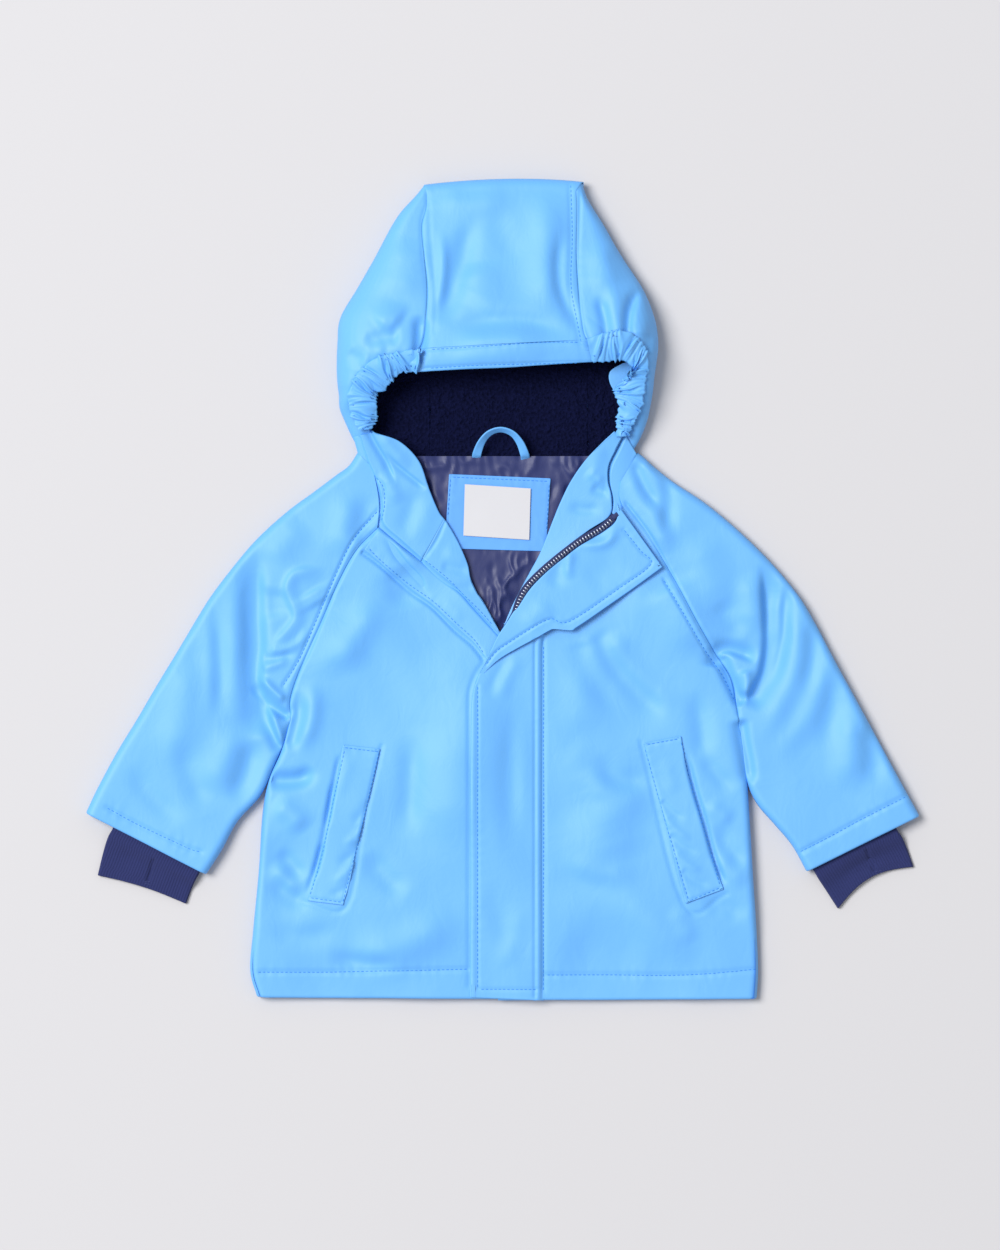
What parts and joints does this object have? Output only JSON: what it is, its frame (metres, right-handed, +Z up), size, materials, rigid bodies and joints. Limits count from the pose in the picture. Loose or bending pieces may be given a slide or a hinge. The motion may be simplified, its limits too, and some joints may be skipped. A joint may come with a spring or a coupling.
{
  "type": "raincoat",
  "caption": "Small child's padded hooded raincoat laid flat on its back, neck open, with raglan sleeves, storm flap, welt pockets, knit cuffs and a pile-lined hood.",
  "frame": {"origin": "centre of the coat's footprint, on the surface it lies on", "axes": "+X is the viewer's right, the wearer's left; +Y runs from the hem to the hood; +Z is up, out of the front of the coat"},
  "size_m": [0.583, 0.5753, 0.0399],
  "materials": {
    "shell_blue": "coated fabric, soft sheen",
    "fleece_navy": "deep pile, matte",
    "taffeta_navy": "smooth lining, satin",
    "rib_navy": "knit, matte",
    "label_white": "woven, matte",
    "zip_tape": "woven tape, matte"
  },
  "bodies": {
    "root": {"back": "shell_blue", "back_lining": "taffeta_navy", "collar_left": "shell_blue", "collar_right": "shell_blue", "cuff_left": "rib_navy", "cuff_right": "rib_navy", "facing_left": "shell_blue", "facing_right": "shell_blue", "front_left": "shell_blue", "front_right": "shell_blue", "hanging_loop": "shell_blue", "hood_brim": "shell_blue", "hood_casing_left": "shell_blue", "hood_casing_right": "shell_blue", "hood_centre": "shell_blue", "hood_lining_centre": "fleece_navy", "hood_lining_left": "fleece_navy", "hood_lining_right": "fleece_navy", "hood_side_left": "shell_blue", "hood_side_right": "shell_blue", "label": "label_white", "neck_patch": "shell_blue", "placket": "shell_blue", "pocket_left": "shell_blue", "pocket_right": "shell_blue", "sleeve_left": "shell_blue", "sleeve_right": "shell_blue", "storm_flap": "shell_blue", "zip": "zip_tape"}
  },
  "joints": []
}
